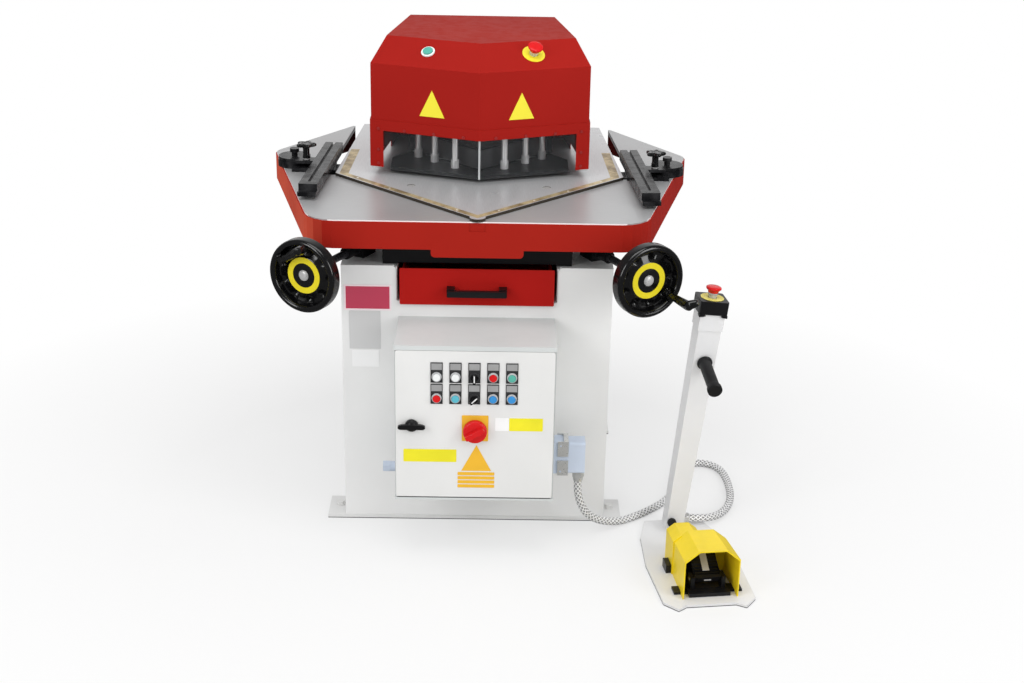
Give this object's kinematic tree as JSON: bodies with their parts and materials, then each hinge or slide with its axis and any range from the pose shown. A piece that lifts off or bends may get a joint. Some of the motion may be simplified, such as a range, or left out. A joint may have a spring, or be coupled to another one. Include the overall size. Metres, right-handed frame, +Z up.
{
  "type": "corner notching machine",
  "caption": "Hydraulic corner notching machine with a V-shaped guarded head, ground table with swing fences, handwheels, scrap drawer, control box and pedal stand.",
  "frame": {"origin": "on the floor, under the middle of the base plate", "axes": "+X to the right of someone facing the control box, +Y to the back, +Z up"},
  "size_m": [1.2908, 1.3195, 1.2233],
  "materials": {
    "red_paint": "semi-gloss red paint",
    "white_paint": "semi-gloss grey-white paint",
    "black_paint": "black paint",
    "dark_steel": "blackened steel",
    "ground_steel": "ground steel",
    "chrome": "polished",
    "steel": "machined steel",
    "brass": "brushed",
    "clear_sheet": "clear polycarbonate",
    "black_plastic": "gloss black plastic",
    "yellow_plastic": "gloss yellow plastic",
    "grey_plastic": "light blue-grey plastic",
    "braid": "steel braid",
    "red_plastic": "gloss red plastic",
    "green_plastic": "gloss green plastic",
    "blue_plastic": "gloss blue plastic",
    "light_blue_plastic": "gloss light blue plastic",
    "sign_yellow": "matt film"
  },
  "bodies": {
    "machine": {"base_plate": "white_paint", "cabinet": "white_paint", "rear_cover": "white_paint", "press_frame": "black_paint", "table_top": "ground_steel", "table_skirt": "red_paint", "bed_plate": "ground_steel", "edge_rulers": "brass", "screws_and_glands": "chrome", "scrap_chute": "black_paint", "guard_frame": "red_paint", "guard_screen": "clear_sheet", "hood": "red_paint", "hydraulic_cylinder": "steel", "power_pack": "dark_steel", "control_box": "white_paint", "plug_connector": "grey_plastic", "hose": "braid", "pedal_stand": "white_paint", "post_head": "black_plastic", "post_grip": "black_plastic", "pedal_body": "black_plastic", "pedal_guard": "yellow_plastic", "shaft_housings": "black_paint", "sign_plates": "sign_yellow"},
    "ram": {"ram": "steel", "upper_blades": "steel"},
    "hold_down": {"hold_down": "chrome"},
    "drawer": {"scrap_drawer": "red_paint", "drawer_handle": "black_plastic"},
    "door": {"door": "white_paint", "door_fittings": "sign_yellow"},
    "latch": {"door_latch": "black_plastic"},
    "main_switch": {"main_switch": "red_plastic"},
    "stop_button": {"stop_button": "red_plastic"},
    "start_button": {"start_button": "green_plastic"},
    "red_button": {"red_button": "red_plastic"},
    "teal_button": {"teal_button": "light_blue_plastic"},
    "blue_button_left": {"blue_button_left": "blue_plastic"},
    "blue_button_right": {"blue_button_right": "blue_plastic"},
    "mode_selector": {"mode_selector": "black_plastic"},
    "stroke_selector": {"stroke_selector": "black_plastic"},
    "hood_start_button": {"hood_start_button": "green_plastic"},
    "hood_estop": {"hood_estop": "red_plastic"},
    "post_estop": {"post_estop": "red_plastic"},
    "treadle": {"treadle": "black_plastic"},
    "handwheel_right": {"handwheel_right": "black_plastic"},
    "handwheel_left": {"handwheel_left": "black_plastic"},
    "blade_holder_right": {"blade_holder_right": "steel"},
    "blade_holder_left": {"blade_holder_left": "steel"},
    "crank_right": {"crank_right": "black_plastic"},
    "crank_left": {"crank_left": "black_plastic"},
    "gauge_carriage_right": {"gauge_carriage_right": "dark_steel"},
    "gauge_carriage_left": {"gauge_carriage_left": "dark_steel"},
    "fence_right": {"gauge_fence_right": "dark_steel"},
    "fence_left": {"gauge_fence_left": "dark_steel"},
    "star_knob_right": {"star_knob_right": "black_plastic"},
    "star_knob_left": {"star_knob_left": "black_plastic"},
    "plug_lever_upper": {"plug_lever_upper": "steel"},
    "plug_lever_lower": {"plug_lever_lower": "steel"}
  },
  "joints": [
    {"name": "ram_stroke", "type": "slide", "parent": "machine", "child": "ram", "axis": [0, 0, -1], "range_m": [0, 0.04]},
    {"name": "hold_down_stroke", "type": "slide", "parent": "machine", "child": "hold_down", "axis": [0, 0, -1], "range_m": [0, 0.0085]},
    {"name": "drawer_slide", "type": "slide", "parent": "machine", "child": "drawer", "axis": [0, -1, 0], "range_m": [0, 0.35]},
    {"name": "door_hinge", "type": "hinge", "parent": "machine", "child": "door", "pos_m": [0.194, -0.517, 0.366], "axis": [0, 0, 1], "range_deg": [0, 110]},
    {"name": "latch_turn", "type": "hinge", "parent": "door", "child": "latch", "pos_m": [-0.157, -0.525, 0.367], "axis": [0, 1, 0], "range_deg": [0, 90]},
    {"name": "main_switch_turn", "type": "hinge", "parent": "door", "child": "main_switch", "pos_m": [0.001, -0.525, 0.3545], "axis": [0, 1, 0], "range_deg": [0, 90]},
    {"name": "stop_button_press", "type": "slide", "parent": "door", "child": "stop_button", "axis": [0, 1, 0], "range_m": [0, 0.0025], "stiffness_N_per_m": 300},
    {"name": "start_button_press", "type": "slide", "parent": "door", "child": "start_button", "axis": [0, 1, 0], "range_m": [0, 0.0025], "stiffness_N_per_m": 300},
    {"name": "red_button_press", "type": "slide", "parent": "door", "child": "red_button", "axis": [0, 1, 0], "range_m": [0, 0.0025], "stiffness_N_per_m": 300},
    {"name": "teal_button_press", "type": "slide", "parent": "door", "child": "teal_button", "axis": [0, 1, 0], "range_m": [0, 0.0025], "stiffness_N_per_m": 300},
    {"name": "blue_button_left_press", "type": "slide", "parent": "door", "child": "blue_button_left", "axis": [0, 1, 0], "range_m": [0, 0.0025], "stiffness_N_per_m": 300},
    {"name": "blue_button_right_press", "type": "slide", "parent": "door", "child": "blue_button_right", "axis": [0, 1, 0], "range_m": [0, 0.0025], "stiffness_N_per_m": 300},
    {"name": "mode_selector_turn", "type": "hinge", "parent": "door", "child": "mode_selector", "pos_m": [-0.002, -0.525, 0.499], "axis": [0, 1, 0], "range_deg": [-45, 45]},
    {"name": "stroke_selector_turn", "type": "hinge", "parent": "door", "child": "stroke_selector", "pos_m": [-0.002, -0.525, 0.442], "axis": [0, 1, 0], "range_deg": [-90, 0]},
    {"name": "hood_start_press", "type": "slide", "parent": "machine", "child": "hood_start_button", "axis": [0.1754, 0.481, -0.859], "range_m": [0, 0.003], "stiffness_N_per_m": 300},
    {"name": "hood_estop_press", "type": "slide", "parent": "machine", "child": "hood_estop", "axis": [-0.1754, 0.481, -0.859], "range_m": [0, 0.006], "stiffness_N_per_m": 300},
    {"name": "post_estop_press", "type": "slide", "parent": "machine", "child": "post_estop", "axis": [-0.1036, -0.0136, -0.9945], "range_m": [0, 0.006], "stiffness_N_per_m": 300},
    {"name": "treadle_tilt", "type": "hinge", "parent": "machine", "child": "treadle", "pos_m": [0.58056, -0.69062, 0.038], "axis": [-0.9914, -0.1305, 0], "range_deg": [0, 9], "stiffness_Nm_per_rad": 8, "springref_deg": -11.46},
    {"name": "handwheel_right_turn", "type": "hinge", "parent": "machine", "child": "handwheel_right", "pos_m": [0.42, -0.475, 0.74], "axis": [0.454, -0.891, 0], "range_deg": [0, 360]},
    {"name": "handwheel_left_turn", "type": "hinge", "parent": "machine", "child": "handwheel_left", "pos_m": [-0.42, -0.475, 0.74], "axis": [-0.454, -0.891, 0], "range_deg": [0, 360]},
    {"name": "blade_holder_right_slide", "type": "slide", "parent": "machine", "child": "blade_holder_right", "axis": [0.454, -0.891, 0], "range_m": [0, 0.003]},
    {"name": "blade_holder_left_slide", "type": "slide", "parent": "machine", "child": "blade_holder_left", "axis": [-0.454, -0.891, 0], "range_m": [0, 0.003]},
    {"name": "crank_right_fold", "type": "hinge", "parent": "handwheel_right", "child": "crank_right", "pos_m": [0.47151, -0.45998, 0.70028], "axis": [0.3481, 0.1774, -0.9205], "range_deg": [0, 76]},
    {"name": "crank_left_unfold", "type": "hinge", "parent": "handwheel_left", "child": "crank_left", "pos_m": [-0.47646, -0.45745, 0.77099], "axis": [0.4722, -0.2406, -0.848], "range_deg": [0, 76]},
    {"name": "gauge_right_slide", "type": "slide", "parent": "machine", "child": "gauge_carriage_right", "axis": [-0.0707, 0.9975, 0], "range_m": [0, 0.16]},
    {"name": "gauge_left_slide", "type": "slide", "parent": "machine", "child": "gauge_carriage_left", "axis": [0.0707, 0.9975, 0], "range_m": [-0.03, 0.13]},
    {"name": "fence_right_swing", "type": "hinge", "parent": "gauge_carriage_right", "child": "fence_right", "pos_m": [0.50733, 0.06708, 0.88], "axis": [0, 0, 1], "range_deg": [-20, 45]},
    {"name": "fence_left_swing", "type": "hinge", "parent": "gauge_carriage_left", "child": "fence_left", "pos_m": [-0.505, 0.1, 0.88], "axis": [0, 0, 1], "range_deg": [-45, 20]},
    {"name": "star_knob_right_turn", "type": "hinge", "parent": "fence_right", "child": "star_knob_right", "pos_m": [0.47033, 0.02208, 0.9], "axis": [0, 0, 1], "range_deg": [-90, 90]},
    {"name": "star_knob_left_turn", "type": "hinge", "parent": "fence_left", "child": "star_knob_left", "pos_m": [-0.468, 0.055, 0.9], "axis": [0, 0, 1], "range_deg": [-90, 90]},
    {"name": "plug_lever_upper_open", "type": "hinge", "parent": "machine", "child": "plug_lever_upper", "pos_m": [0.22, -0.425, 0.2795], "axis": [0, -1, 0], "range_deg": [0, 60]},
    {"name": "plug_lever_lower_open", "type": "hinge", "parent": "machine", "child": "plug_lever_lower", "pos_m": [0.22, -0.425, 0.2075], "axis": [0, 1, 0], "range_deg": [0, 60]}
  ],
  "couplings": [
    {"joint": "blade_holder_right_slide", "follows": "handwheel_right_turn", "m_per_rad": 0.00047742},
    {"joint": "blade_holder_left_slide", "follows": "handwheel_left_turn", "m_per_rad": 0.00047742}
  ]
}
